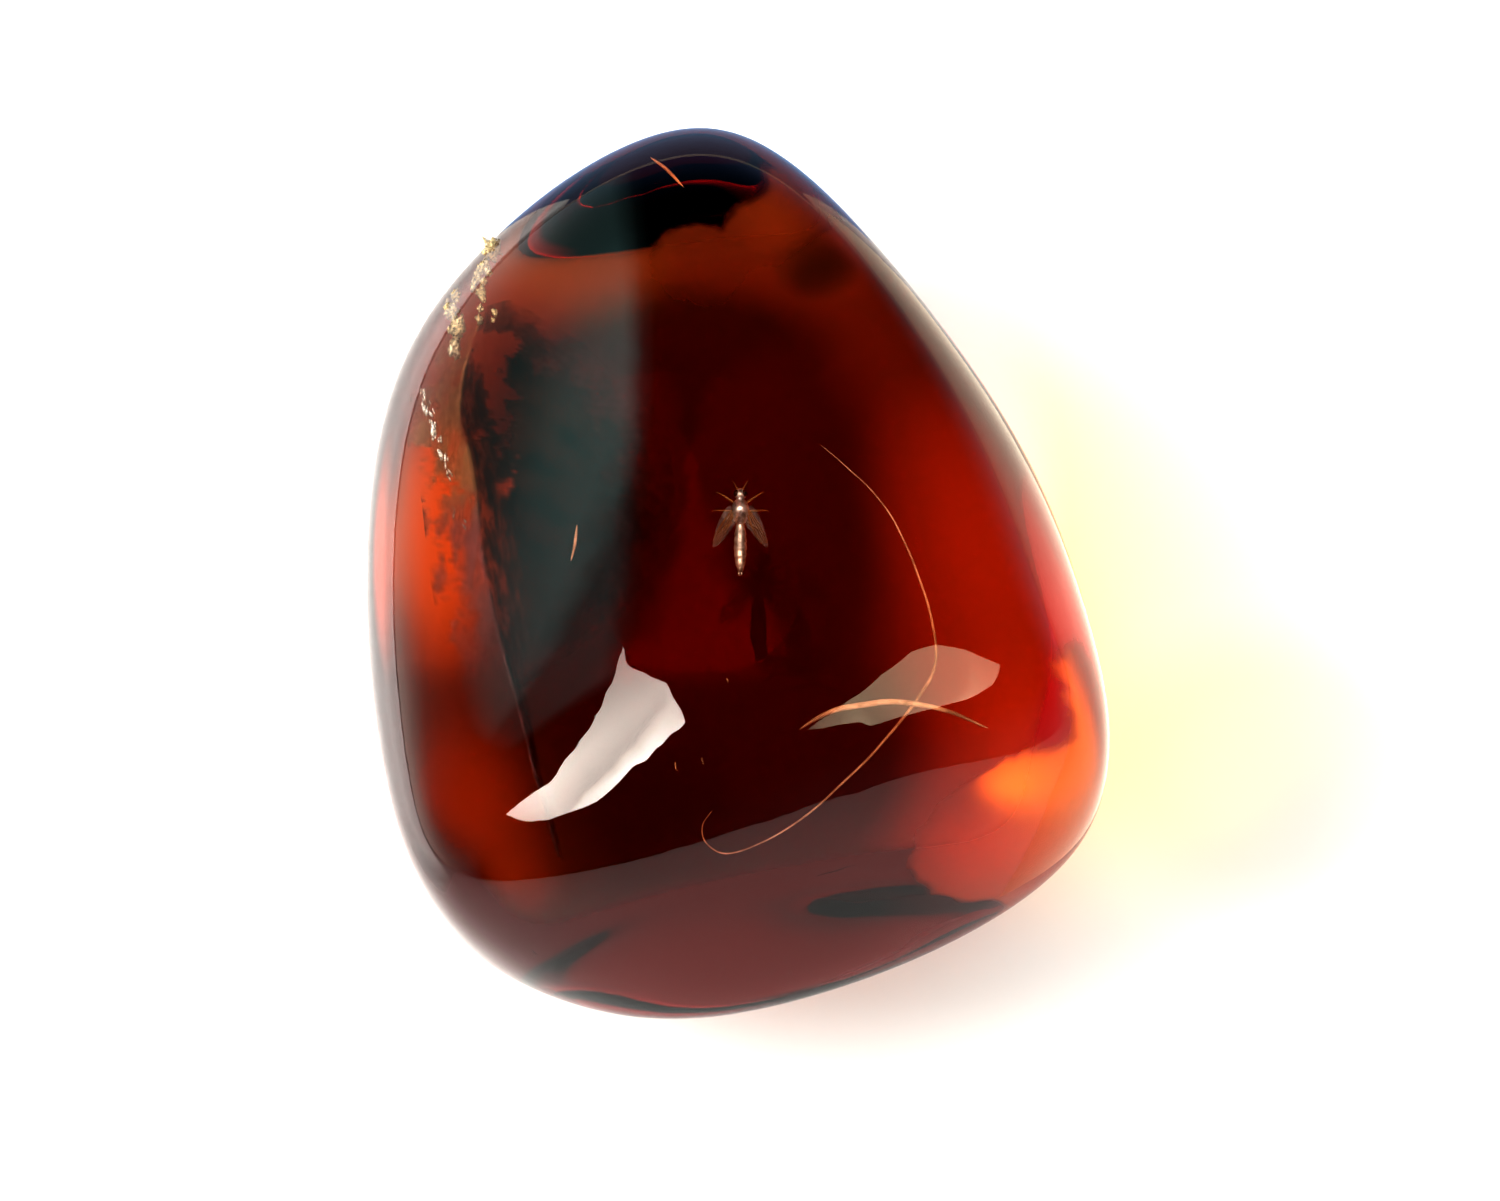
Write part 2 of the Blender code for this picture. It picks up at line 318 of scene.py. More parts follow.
def tube(shape, path, radii, sides=8, index=0):
    """A closed tube along the path, with a radius at each point."""
    first_face = len(shape.faces)
    steps = [(b - a).normalized() for a, b in zip(path, path[1:])]
    lines = [steps[0]] + [(a + b).normalized() for a, b in zip(steps, steps[1:])] + [steps[-1]]
    ring = bmesh.ops.create_circle(shape, segments=sides, radius=radii[0])["verts"]
    upright = Vector((0, 0, 1)).rotation_difference(lines[0]).to_matrix()
    for vert in ring:
        vert.co = path[0] + upright @ vert.co
    edges = list(dict.fromkeys(edge for vert in ring for edge in vert.link_edges))
    bmesh.ops.contextual_create(shape, geom=edges)
    for i in range(1, len(path)):
        grown = bmesh.ops.extrude_edge_only(shape, edges=edges)["geom"]
        ring = {item for item in grown if isinstance(item, bmesh.types.BMVert)}
        edges = [item for item in grown if isinstance(item, bmesh.types.BMEdge)
                 and item.verts[0] in ring and item.verts[1] in ring]
        turn = lines[i - 1].rotation_difference(lines[i]).to_matrix()
        for vert in ring:
            vert.co = path[i] + turn @ (vert.co - path[i - 1]) * (radii[i] / radii[i - 1])
    bmesh.ops.contextual_create(shape, geom=edges)
    finish_new_faces(shape, first_face, index)


def egg(shape, middle, half_sizes, segments=20, rings=12, index=0, turn=None):
    """A stretched sphere. Its poles lie along Y, so its rings go round the body."""
    first_face = len(shape.faces)
    place = Matrix.Translation(middle) @ (turn or Matrix()) @ Matrix.Diagonal((*half_sizes, 1))
    place @= Matrix.Rotation(math.radians(90), 4, "X")
    made = bmesh.ops.create_uvsphere(shape, u_segments=segments, v_segments=rings,
                                     radius=1.0, matrix=place)
    finish_new_faces(shape, first_face, index)
    return made["verts"]


def smooth_path(points, steps):
    """A Catmull-Rom curve through the points, with some steps between each pair."""
    ends = [points[0] * 2 - points[1], *points, points[-1] * 2 - points[-2]]
    path = []
    for a, b, c, d in zip(ends, ends[1:], ends[2:], ends[3:]):
        for step in range(steps):
            t = step / steps
            path.append(0.5 * (2 * b + (c - a) * t + (2 * a - 5 * b + 4 * c - d) * t ** 2
                               + (3 * b - a - 3 * c + d) * t ** 3))
    return path + [points[-1].copy()]


# %% [markdown]
# ## The gnat
#
# A fungus gnat 2.5 mm long lies on its belly with its wings swept back. Resin that sets
# round an insect leaves a film of gas on it, so the body shines like foil, while the wings
# stay grey and thin. The body is built of eggs and tubes in its own millimetres: head
# towards +Y, back up, origin over its place. All its parts go into one bmesh.

# %% Gnat: sizes in mm
GNAT_PLACE = (0.05, 0.05)
HEAD_Y, HEAD_RADIUS = 0.96, 0.16
THORAX_Y, THORAX_HALF = 0.50, (0.23, 0.36, 0.24)
ABDOMEN_Y, ABDOMEN_HALF, ABDOMEN_RINGS = -0.42, (0.17, 0.72, 0.16), 7
WING_LENGTH, WING_WIDTH, WING_THICKNESS = 1.25, 0.42, 0.018
WING_ROOT = Vector((0.12, 0.62, 0.16))
WING_SPREAD = 28                  # degrees off the body's line
LEG_ROOTS_Y, LEG_TURNS = (0.70, 0.50, 0.28), (35, 5, -35)
LEG_THIGH, LEG_SHIN, LEG_RADIUS = 0.40, 0.38, 0.035
FEELER_LENGTH, FEELER_BEADS = 0.34, 9
BODY, EYE, WING, LIMB = range(4)  # material indices

gnat_frame = Matrix.Translation(on_parting(*GNAT_PLACE)) @ Matrix.Scale(MM, 4)
gnat_shape = bmesh.new()
print("gnat lies", round(on_parting(*GNAT_PLACE).z / MM, 2), "mm above the foot")


# %% Gnat: head, thorax and ringed abdomen
def gnat_trunk(shape):
    egg(shape, Vector((0, HEAD_Y, -0.02)), (HEAD_RADIUS,) * 3, index=BODY)
    thorax = egg(shape, Vector((0, THORAX_Y, 0.02)), THORAX_HALF, 24, 16, index=BODY)
    for vert in thorax:                       # the hump that gnats carry over the head
        if vert.co.z > 0:
            vert.co.z += 0.05 * math.exp(-((vert.co.y - THORAX_Y - 0.08) / 0.16) ** 2)
    abdomen = egg(shape, Vector((0, ABDOMEN_Y, -0.02)), ABDOMEN_HALF, 24, 56, index=BODY)
    for vert in abdomen:                      # plates that overlap backwards, ring by ring
        along = (ABDOMEN_Y + ABDOMEN_HALF[1] - vert.co.y) / (2 * ABDOMEN_HALF[1])
        swell = 0.90 + 0.12 * (along * ABDOMEN_RINGS % 1.0)
        vert.co.x *= swell
        vert.co.z = -0.02 + (vert.co.z + 0.02) * swell
    egg(shape, Vector((0, 0.80, -0.03)), (0.07, 0.12, 0.07), 14, 8, index=BODY)
    for side in (-1, 1):
        egg(shape, Vector((side * 0.095, HEAD_Y + 0.02, 0.02)), (0.085, 0.10, 0.11), 18, 12,
            index=EYE)
        for number in range(2):               # the two lobes at the tail
            egg(shape, Vector((side * 0.035, -1.12 - 0.02 * number, -0.03 + 0.03 * number)),
                (0.03, 0.06, 0.03), 10, 6, index=BODY)


gnat_trunk(gnat_shape)
print("trunk:", len(gnat_shape.faces), "faces")


# %% Gnat: legs, feelers and bristles
def gnat_limbs(shape):
    for side in (-1, 1):
        for root_y, turn in zip(LEG_ROOTS_Y, LEG_TURNS):
            ahead = math.radians(turn)
            out = Vector((side * math.cos(ahead), math.sin(ahead), 0.0))
            hip = Vector((side * 0.10, root_y, -0.14))
            knee = hip + out * LEG_THIGH + Vector((0, 0, 0.03))
            foot = knee + out * LEG_SHIN * 0.5 + Vector((0, 0, -LEG_SHIN * 0.55))
            toe = foot + out * 0.05 + Vector((0, -0.06, -0.01))
            thigh = [hip, hip.lerp(knee, 0.35), hip.lerp(knee, 0.8), knee]
            tube(shape, thigh, [LEG_RADIUS * k for k in (0.6, 1.0, 0.8, 0.55)], 8, LIMB)
            egg(shape, knee, (0.024,) * 3, 8, 6, index=LIMB)
            tube(shape, [knee, knee.lerp(foot, 0.5), foot], [0.019, 0.016, 0.012], 6, LIMB)
            tube(shape, [foot, foot.lerp(toe, 0.5), toe], [0.012, 0.010, 0.006], 6, LIMB)
        root = Vector((side * 0.05, HEAD_Y + 0.10, 0.03))
        tip = Vector((side * FEELER_LENGTH * 0.55, HEAD_Y + FEELER_LENGTH, 0.06))
        for bead in range(FEELER_BEADS):
            t = bead / (FEELER_BEADS - 1)
            size = 0.021 - 0.009 * t
            egg(shape, root.lerp(tip, t), (size, size * 1.25, size), 8, 6, index=LIMB)
        for number in range(14):              # bristles in two rows down the back
            y = 0.76 - 0.045 * number
            row_x = 0.05 + 0.04 * (number % 2)
            root = Vector((side * row_x, y, 0.235 - 0.9 * (y - THORAX_Y) ** 2))
            tip = root + Vector((side * 0.04, -0.11, 0.045))
            tube(shape, [root, root.lerp(tip, 0.5), tip], [0.006, 0.0045, 0.002], 4, LIMB)


gnat_limbs(gnat_shape)
print("trunk and limbs:", len(gnat_shape.faces), "faces")


# %% [markdown]
# A wing is a flat blade of clear skin held open by veins. The blade is a circle pulled
# into a leaf shape and given a thickness; each vein is a thin tube from the root that runs
# out to the wing's rim.

# %% Gnat: wings
def gnat_wings(shape):
    spread = math.radians(WING_SPREAD)
    for side in (-1, 1):
        back = Vector((side * math.sin(spread), -math.cos(spread), -0.10)).normalized()
        across = Vector((0, 0, 1)).cross(back).normalized()
        up = back.cross(across)
        root = Vector((side * WING_ROOT.x, WING_ROOT.y, WING_ROOT.z))

        def on_wing(along, sideways, lift=0.0):
            """along 0 to 1 from root to tip, sideways -1 to 1 across the blade."""
            leaf = math.sin(math.pi * min(1.0, 0.12 + 0.88 * along) ** 0.75) ** 0.7
            width = WING_WIDTH / 2 * leaf
            ripple = 0.012 * math.sin(9 * along + 4 * sideways)
            return (root + back * WING_LENGTH * along + across * width * sideways
                    + up * (ripple + lift))

        first_face = len(shape.faces)
        blade = bmesh.ops.create_grid(shape, x_segments=20, y_segments=8, size=1.0)["verts"]
        for vert in blade:
            vert.co = on_wing(0.02 + 0.48 * (vert.co.x + 1), vert.co.y)
        shape.faces.ensure_lookup_table()
        skin = shape.faces[first_face:]
        rims = list(dict.fromkeys(edge for face in skin for edge in face.edges))
        bmesh.ops.solidify(shape, geom=skin + rims + blade, thickness=WING_THICKNESS)
        finish_new_faces(shape, first_face, WING)
        for start, end in ((0.0, -0.98), (-0.1, -0.6), (0.05, -0.15), (0.1, 0.3), (0.15, 0.75)):
            path = [on_wing(t, start + (end - start) * t ** 0.8, 0.004) for t in
                    (0.02, 0.15, 0.3, 0.45, 0.6, 0.75, 0.9)]
            tube(shape, path, [0.013 - 0.0013 * i for i in range(7)], 6, LIMB)


gnat_wings(gnat_shape)
print("whole gnat:", len(gnat_shape.faces), "faces")


# %% [markdown]
# The finishes: gas film on chitin is a mirror that has gone slightly matt, so it is a
# silvery metal, mottled where the film breaks; the amber over it turns it pale gold. Eyes
# are dark red-brown domes. Wings are thin clear skin, grey-blue and half see-through. Legs
# are plain brown chitin.

# %% Gnat: finishes
def silvered_chitin():
    """Foil that has gone a little matt and blotchy: it makes the body glint."""
    made, tree = new_material("gas film on chitin, silvery")
    place = add(tree, "ShaderNodeTexCoord")
    blotch = add(tree, "ShaderNodeTexNoise", {"Scale": 1 / (0.22 * MM), "Detail": 3.0},
                 {"Vector": place.outputs["Object"]})
    tone = add(tree, "ShaderNodeValToRGB", links={"Fac": blotch.outputs["Fac"]})
    tone.color_ramp.elements[0].position = 0.35
    tone.color_ramp.elements[0].color = colour("#9a9ca8")
    tone.color_ramp.elements[1].position = 0.55
    tone.color_ramp.elements[1].color = colour("#eef2ff")
    grain = add(tree, "ShaderNodeTexNoise", {"Scale": 1 / (0.04 * MM), "Detail": 2.0},
                {"Vector": place.outputs["Object"]})
    dents = add(tree, "ShaderNodeBump", {"Strength": 0.35, "Distance": 0.01 * MM},
                {"Height": grain.outputs["Fac"]})
    skin = add(tree, "ShaderNodeBsdfPrincipled", {"Metallic": 0.7, "Roughness": 0.32},
               {"Base Color": tone.outputs["Color"], "Normal": dents.outputs["Normal"]})
    add(tree, "ShaderNodeOutputMaterial", links={"Surface": skin.outputs[0]})
    return made


def eye_finish():
    """A dome of tiny lenses: the eyes look dark, with a broken highlight."""
    made, tree = new_material("gnat's eye, dark chitin")
    place = add(tree, "ShaderNodeTexCoord")
    lenses = add(tree, "ShaderNodeTexVoronoi", {"Scale": 1 / (0.02 * MM)},
                 {"Vector": place.outputs["Object"]})
    domes = add(tree, "ShaderNodeBump", {"Strength": 0.5, "Distance": 0.006 * MM},
                {"Height": lenses.outputs["Distance"]})
    skin = add(tree, "ShaderNodeBsdfPrincipled",
               {"Base Color": colour("#3a1408"), "Roughness": 0.25},
               {"Normal": domes.outputs["Normal"]})
    add(tree, "ShaderNodeOutputMaterial", links={"Surface": skin.outputs[0]})
    return made


def wing_finish():
    """Clear skin, cloudy in places: a thin grey smear on each side of the body."""
    made, tree = new_material("gnat's wing, clear grey skin")
    place = add(tree, "ShaderNodeTexCoord")
    cloud = add(tree, "ShaderNodeTexNoise", {"Scale": 1 / (0.3 * MM), "Detail": 3.0},
                {"Vector": place.outputs["Object"]})
    tone = add(tree, "ShaderNodeValToRGB", links={"Fac": cloud.outputs["Fac"]})
    tone.color_ramp.elements[0].color = colour("#8c90a4")
    tone.color_ramp.elements[1].color = colour("#c4cce0")
    veil = add(tree, "ShaderNodeMapRange", {"From Min": 0.3, "From Max": 0.7,
                                            "To Min": 0.06, "To Max": 0.28},
               {"Value": cloud.outputs["Fac"]})
    skin = add(tree, "ShaderNodeBsdfPrincipled", {"Roughness": 0.35},
               {"Base Color": tone.outputs["Color"], "Alpha": veil.outputs[0]})
    add(tree, "ShaderNodeOutputMaterial", links={"Surface": skin.outputs[0]})
    return made


def limb_finish():
    """Brown chitin that is paler in bands: legs and feelers show as fine tan lines."""
    made, tree = new_material("gnat's legs, brown chitin")
    place = add(tree, "ShaderNodeTexCoord")
    bands = add(tree, "ShaderNodeTexNoise", {"Scale": 1 / (0.12 * MM), "Detail": 2.0},
                {"Vector": place.outputs["Object"]})
    tone = add(tree, "ShaderNodeValToRGB", links={"Fac": bands.outputs["Fac"]})
    tone.color_ramp.elements[0].color = colour("#5a3418")
    tone.color_ramp.elements[1].color = colour("#c89a5e")
    skin = add(tree, "ShaderNodeBsdfPrincipled", {"Roughness": 0.4},
               {"Base Color": tone.outputs["Color"]})
    add(tree, "ShaderNodeOutputMaterial", links={"Surface": skin.outputs[0]})
    return made


# %% Gnat: put together
bmesh.ops.transform(gnat_shape, matrix=gnat_frame, verts=gnat_shape.verts[:])
bmesh.ops.recalc_face_normals(gnat_shape, faces=gnat_shape.faces[:])
gnat = object_from(gnat_shape, "gnat_sealed_in", silvered_chitin(), eye_finish(), wing_finish(),
                   limb_finish())
belongs(gnat, "gnat", "gnat")


# %% [markdown]
# ## Fibres
#
# Plant hairs and silk blew onto the resin while it was sticky. The CAD holds plain tubes
# for them; real ones taper to nothing at both ends and wander a little, so these follow
# the same routes with a radius that swells and fades.

# %% Fibres: routes (plan places in mm), lift over the dome, thickest radius (mm)
FIBRES = {
    "long_thread": (((2.1, 2.4), (2.7, 1.85), (3.55, 0.95), (4.1, 0.0), (4.45, -0.9),
                     (4.75, -1.85), (4.9, -2.7), (4.8, -3.25), (4.45, -3.7), (3.95, -4.25),
                     (3.45, -4.8), (2.45, -5.8), (1.45, -6.7), (0.4, -7.3), (-0.5, -7.5),
                     (-1.05, -7.15), (-1.15, -6.7), (-0.9, -6.35)), -0.35 * MM, 0.034),
    "cross_fibre": (((1.45, -4.75), (2.1, -4.4), (2.75, -4.2), (4.0, -4.0), (5.25, -4.1),
                     (6.25, -4.4)), 0.2 * MM, 0.060),
    "top_fibre": (((-2.15, 10.2), (-1.8, 9.95), (-1.4, 9.5)), 0.0, 0.045),
    "side_fibre": (((-4.1, 0.25), (-4.15, -0.2), (-4.25, -0.7)), 0.0, 0.040),
}
FIBRE_SHAKE = 0.02 * MM           # how far a fibre strays from its smooth route


def stray(point):
    """A smooth push off the route, up to FIBRE_SHAKE along each axis, the same each run."""
    here = point / (0.8 * MM)
    return Vector([noise.noise(here + Vector((axis, 0, 0))) for axis in (0, 40, 80)]) * FIBRE_SHAKE


def fibre_shape(plan, lift, radius):
    path = smooth_path([on_parting(x, y, lift) for x, y in plan], 6)
    path = [point + stray(point) for point in path]
    radii = []
    for i in range(len(path)):
        t = i / (len(path) - 1)
        radii.append(radius * MM * (0.12 + 0.88 * math.sin(math.pi * t) ** 0.6))
    shape = bmesh.new()
    tube(shape, path, radii, 8)
    bmesh.ops.recalc_face_normals(shape, faces=shape.faces[:])
    return shape


# %% Fibres: finish
def plant_fibre():
    """Cellulose: cream, and silky along its length."""
    made, tree = new_material("plant fibre, cream")
    place = add(tree, "ShaderNodeTexCoord")
    shade = add(tree, "ShaderNodeTexNoise", {"Scale": 1 / (0.6 * MM), "Detail": 2.0},
                {"Vector": place.outputs["Object"]})
    tone = add(tree, "ShaderNodeValToRGB", links={"Fac": shade.outputs["Fac"]})
    tone.color_ramp.elements[0].position = 0.35
    tone.color_ramp.elements[0].color = colour("#b09a98")
    tone.color_ramp.elements[1].position = 0.65
    tone.color_ramp.elements[1].color = colour("#fff2fa")
    skin = add(tree, "ShaderNodeBsdfPrincipled", {"Roughness": 0.38, "Sheen Weight": 0.3},
               {"Base Color": tone.outputs["Color"]})
    add(tree, "ShaderNodeOutputMaterial", links={"Surface": skin.outputs[0]})
    return made


fibre_finish = plant_fibre()
for node, (plan, lift, radius) in FIBRES.items():
    piece = object_from(fibre_shape(plan, lift, radius), node + "_tapered", fibre_finish)
    belongs(piece, "fibre", node)


# %% [markdown]
# ## The crack and its flecks
#
# A crack dips into the pebble from a line down its left slope. Air got into it, and light
# that meets a thin film of air inside amber is turned back as if by a mirror, so the crack
# hides the bright flank behind it. A gap cut in the amber would need two more clear walls
# that Cycles has to trace; a very thin sheet with a mirror's finish looks the same.
#
# The sheet is a grid. Its rows start on the outer side of the rim, where a broken veil
# stays just under the skin, and run on down the crack's slope. A colour layer on its
# vertices tells the finish how much film is there, how brown it is and how dark, so its
# edges can be ragged without cutting the mesh.

# %% The crack: rim in plan (mm), width (mm), dip (degrees), cover of sheet and of veil
CRACK = [((-6.6, 6.3), 0.8, 40, 0.3, 0.0), ((-7.1, 4.6), 3.2, 42, 0.9, 0.4),
         ((-7.2, 3.2), 4.4, 42, 1.0, 0.7), ((-6.9, 2.2), 4.8, 42, 1.0, 0.75),
         ((-6.7, 1.0), 5.0, 44, 1.0, 0.75), ((-6.5, -0.6), 5.0, 46, 1.0, 0.6),
         ((-6.1, -2.5), 3.4, 52, 0.9, 0.3), ((-5.6, -4.2), 0.3, 75, 0.9, 0.0),
         ((-5.0, -6.5), 0.12, 78, 0.9, 0.0), ((-4.5, -8.3), 0.08, 78, 0.6, 0.0)]
CRACK_THICKNESS = 0.02 * MM
CRACK_BELOW_SKIN = 0.12 * MM
CRACK_SLANT = 0.25                # rows run inward and this much up the stone
VEIL_WIDTH = 1.4                  # mm, the broken strip on the outer side of the rim
VEIL_COLUMNS, SHEET_COLUMNS, ROWS_PER_STEP = 12, 33, 14
GAP_PLACE, GAP_LEAN, GAP_WIDTH = (-6.15, 3.5), 0.12, 0.55    # mm, a torn gap beside the rim
GAP_BOTTOM, GAP_TOP = 2.2, 5.6    # mm up the stone


def skin_height(x, y):
    """How high the pebble's upper skin is over plan places, in metres."""
    x, y = np.atleast_1d(x).astype(float), np.atleast_1d(y).astype(float)
    low = np.full(x.shape, PEBBLE_MIDDLE.z)
    high = low + 9 * MM
    for _ in range(26):
        middle = (low + high) / 2
        arm = np.stack([x, y, middle], axis=1) - np.array(PEBBLE_MIDDLE)
        length = np.linalg.norm(arm, axis=1)
        inside = length < skin_reach(arm / length[:, None])
        low, high = np.where(inside, middle, low), np.where(inside, high, middle)
    return low


def soft_step(value, low, high):
    t = min(1.0, max(0.0, (value - low) / (high - low)))
    return t * t * (3 - 2 * t)


def torn_gap(x, y, ragged):
    """Share of the film that is left beside the rim, where it tore away."""
    if y > GAP_TOP:
        return 1.0
    off = abs(x - GAP_PLACE[0] + GAP_LEAN * (y - GAP_PLACE[1])) / GAP_WIDTH + 1.1 * ragged
    return 0.15 + 0.85 * soft_step(off - (y - GAP_BOTTOM) / 2.6, -0.2, 0.3)


def crack_shape():
    """A grid under the skin. Its colour layer holds cover, brownness and darkness."""
    rim = smooth_path([Vector((x, y, 0)) for (x, y), *_ in CRACK], ROWS_PER_STEP)
    along = np.linspace(0, len(CRACK) - 1, len(rim))
    width, dip, sheet, veil = (np.interp(along, range(len(CRACK)), column)
                               for column in list(zip(*CRACK))[1:])
    columns = VEIL_COLUMNS + SHEET_COLUMNS
    shape = bmesh.new()
    layer = shape.verts.layers.float_color.new("film")
    grid = bmesh.ops.create_grid(shape, x_segments=columns - 1, y_segments=len(rim) - 1,
                                 size=1.0)["verts"]
    for number, place in enumerate(rim):
        fall = math.tan(math.radians(dip[number]))
        outs = np.concatenate([np.linspace(-VEIL_WIDTH, 0, VEIL_COLUMNS + 1)[:-1],
                               np.linspace(0, width[number], SHEET_COLUMNS)])
        roofs = skin_height((place.x + outs) * MM, (place.y + CRACK_SLANT * outs) * MM)
        roofs -= CRACK_BELOW_SKIN
        top = roofs[VEIL_COLUMNS]
        for vert, out, roof in zip(grid[number * columns:], outs, roofs):
            x, y = place.x + out, place.y + CRACK_SLANT * out
            ripple = 0.10 * noise.noise(Vector((x, y, 0)) / 0.8) * min(1.0, abs(out))
            ragged = noise.fractal(Vector((x, 0.6 * y, 3.0)) / 0.5, 0.6, 2.0, 4)
            if out < 0:
                height = roof + 0.15 * out * MM
                share = veil[number] * soft_step(VEIL_WIDTH + out + 0.9 * ragged, 0.1, 0.8)
            else:
                height = min(roof, top - (out * fall + ripple) * MM)
                worn = soft_step(out / width[number] + 0.15 * ragged, 0.45, 1.0)
                share = sheet[number] * (1 - worn) * torn_gap(x, y, ragged)
            vert.co = (x * MM, y * MM, height)
            vert[layer] = (share, 1 - soft_step(out, 0.0, 1.5), 1 - soft_step(y, 0.0, 1.6), 1.0)
    bmesh.ops.reverse_faces(shape, faces=shape.faces[:])      # so that it thickens downwards
    shape.normal_update()
    bmesh.ops.solidify(shape, geom=shape.faces[:] + shape.edges[:] + shape.verts[:],
                       thickness=CRACK_THICKNESS)
    bmesh.ops.recalc_face_normals(shape, faces=shape.faces[:])
    return shape


def air_film():
    """A dull mirror that hides what is behind it: a teal sheet and a torn brown veil."""
    made, tree = new_material("air film in a crack, silvery")
    place = add(tree, "ShaderNodeTexCoord")
    film = add(tree, "ShaderNodeAttribute", attribute_name="film")
    parts = add(tree, "ShaderNodeSeparateColor", links={"Color": film.outputs["Color"]})
    upright = add(tree, "ShaderNodeVectorMath", {1: (1.0, 0.35, 1.0)},
                  {0: place.outputs["Object"]}, operation="MULTIPLY")
    streaks = add(tree, "ShaderNodeTexNoise", {"Scale": 1 / (0.35 * MM), "Detail": 4.0},
                  {"Vector": upright.outputs[0]})
    share = add(tree, "ShaderNodeMapRange", {
        "From Min": 0.36, "From Max": 0.62, "To Min": 0.28, "To Max": 0.85},
        {"Value": streaks.outputs["Fac"]})
    torn = add(tree, "ShaderNodeMix", {"A": 1.0},
               {"B": share.outputs[0], "Factor": parts.outputs["Green"]})
    cover = add(tree, "ShaderNodeMath", operation="MULTIPLY",
                links={0: torn.outputs["Result"], 1: parts.outputs["Red"]})
    warm = add(tree, "ShaderNodeMix", {"A": colour("#565b58"), "B": colour("#6e4c30")},
               {"Factor": parts.outputs["Green"]}, data_type="RGBA")
    tone = add(tree, "ShaderNodeMix", {"B": colour("#583634")},
               {"A": warm.outputs["Result"], "Factor": parts.outputs["Blue"]}, data_type="RGBA")
    skin = add(tree, "ShaderNodeBsdfPrincipled", {"Metallic": 1.0, "Roughness": 0.25},
               {"Base Color": tone.outputs["Result"], "Alpha": cover.outputs[0]})
    add(tree, "ShaderNodeOutputMaterial", links={"Surface": skin.outputs[0]})
    return made


crack = object_from(crack_shape(), "crack_air_film", air_film())
belongs(crack, "amber")


# %% [markdown]
# Along the rim the film broke up into small crumpled blisters that glint white to pale
# gold, and three specks of dust lie deeper. One ball for each would look like a bead, so
# each fleck is six flat flakes, crumpled by noise and strewn along the rim. The seed fixes
# the strewing, so it's the same each run.

# %% Flecks: plan place, depth below the skin and size, all in mm
FLECKS = [((-6.55, 7.85), 0.25, 0.50), ((-6.75, 7.35), 0.25, 0.30), ((-7.0, 7.1), 0.25, 0.22),
          ((-7.5, 6.5), 0.25, 0.42), ((-7.45, 6.0), 0.25, 0.40), ((-7.35, 5.5), 0.3, 0.34),
          ((-6.75, 6.6), 0.3, 0.26), ((-6.7, 6.1), 0.35, 0.20), ((-6.35, 6.0), 0.35, 0.16),
          ((-8.25, 3.95), 0.15, 0.18), ((-8.1, 3.65), 0.15, 0.26), ((-7.95, 3.25), 0.18, 0.26),
          ((-7.85, 2.85), 0.2, 0.22), ((-7.7, 2.45), 0.2, 0.22), ((-7.55, 2.05), 0.2, 0.18),
          ((-7.45, 1.7), 0.22, 0.16), ((-7.3, 0.6), 0.25, 0.12), ((-7.0, 0.25), 0.25, 0.12),
          ((-1.67, -5.75), 1.8, 0.07), ((-1.0, -5.58), 1.8, 0.06), ((-0.29, -3.84), 1.6, 0.05)]
FLAKES = (0.75, 0.5, 0.4, 0.3, 0.3, 0.2)       # each flake's half length in fleck sizes
FLAKE_FLATNESS = 0.15
NARROW_BELOW = 4.5                # mm up the stone, under it the flakes are thin streaks


def flecks_shape():
    """Each fleck is a streak of small flat crumpled flakes, longest along the crack's rim."""
    shape = bmesh.new()
    for number, ((x, y), depth, size) in enumerate(FLECKS):
        narrow = 0.25 if y < NARROW_BELOW else 0.6
        for part, share in enumerate(FLAKES):
            shake = noise.random_unit_vector() * size
            made = bmesh.ops.create_icosphere(shape, subdivisions=3, radius=1.0)["verts"]
            here = Vector((x + 0.35 * shake.x - 0.1 * shake.y, y + 1.1 * shake.y, 0))
            here.z = skin_height(here.x * MM, here.y * MM)[0] / MM - depth - 0.1 * abs(shake.z)
            turn = Matrix.Rotation(0.3 + 0.4 * shake.z / size, 3, "Z")
            for vert in made:
                crumple = 1 + 0.9 * noise.noise(vert.co * 2.1 + Vector((number, part, 0)) * 7)
                flat = Vector((vert.co.x * narrow, vert.co.y, vert.co.z * FLAKE_FLATNESS))
                vert.co = (here + turn @ flat * (size * share) * crumple) * MM
    bmesh.ops.recalc_face_normals(shape, faces=shape.faces[:])
    return shape


def gold_blister():
    """Crumpled half-metal foil: it glints white low on the crack, pale gold higher up."""
    made, tree = new_material("air blisters, white to pale gold")
    place = add(tree, "ShaderNodeTexCoord")
    grain = add(tree, "ShaderNodeTexNoise", {"Scale": 1 / (0.08 * MM), "Detail": 3.0},
                {"Vector": place.outputs["Object"]})
    axes = add(tree, "ShaderNodeSeparateXYZ", links={"Vector": place.outputs["Object"]})
    upper = add(tree, "ShaderNodeMapRange", {"From Min": 4.0 * MM, "From Max": 5.5 * MM},
                {"Value": axes.outputs["Y"]})
    tone = add(tree, "ShaderNodeMix", {"A": colour("#fdf6ec"), "B": colour("#d6c096")},
               {"Factor": upper.outputs[0]}, data_type="RGBA")
    patchy = add(tree, "ShaderNodeMapRange", {"From Min": 0.36, "From Max": 0.6, "To Min": 0.25},
                 {"Value": grain.outputs["Fac"]})
    dents = add(tree, "ShaderNodeBump", {"Strength": 0.6, "Distance": 0.02 * MM},
                {"Height": grain.outputs["Fac"]})
    skin = add(tree, "ShaderNodeBsdfPrincipled", {"Metallic": 0.5, "Roughness": 0.35},
               {"Base Color": tone.outputs["Result"], "Normal": dents.outputs["Normal"],
                "Alpha": patchy.outputs[0]})
    add(tree, "ShaderNodeOutputMaterial", links={"Surface": skin.outputs[0]})
    return made


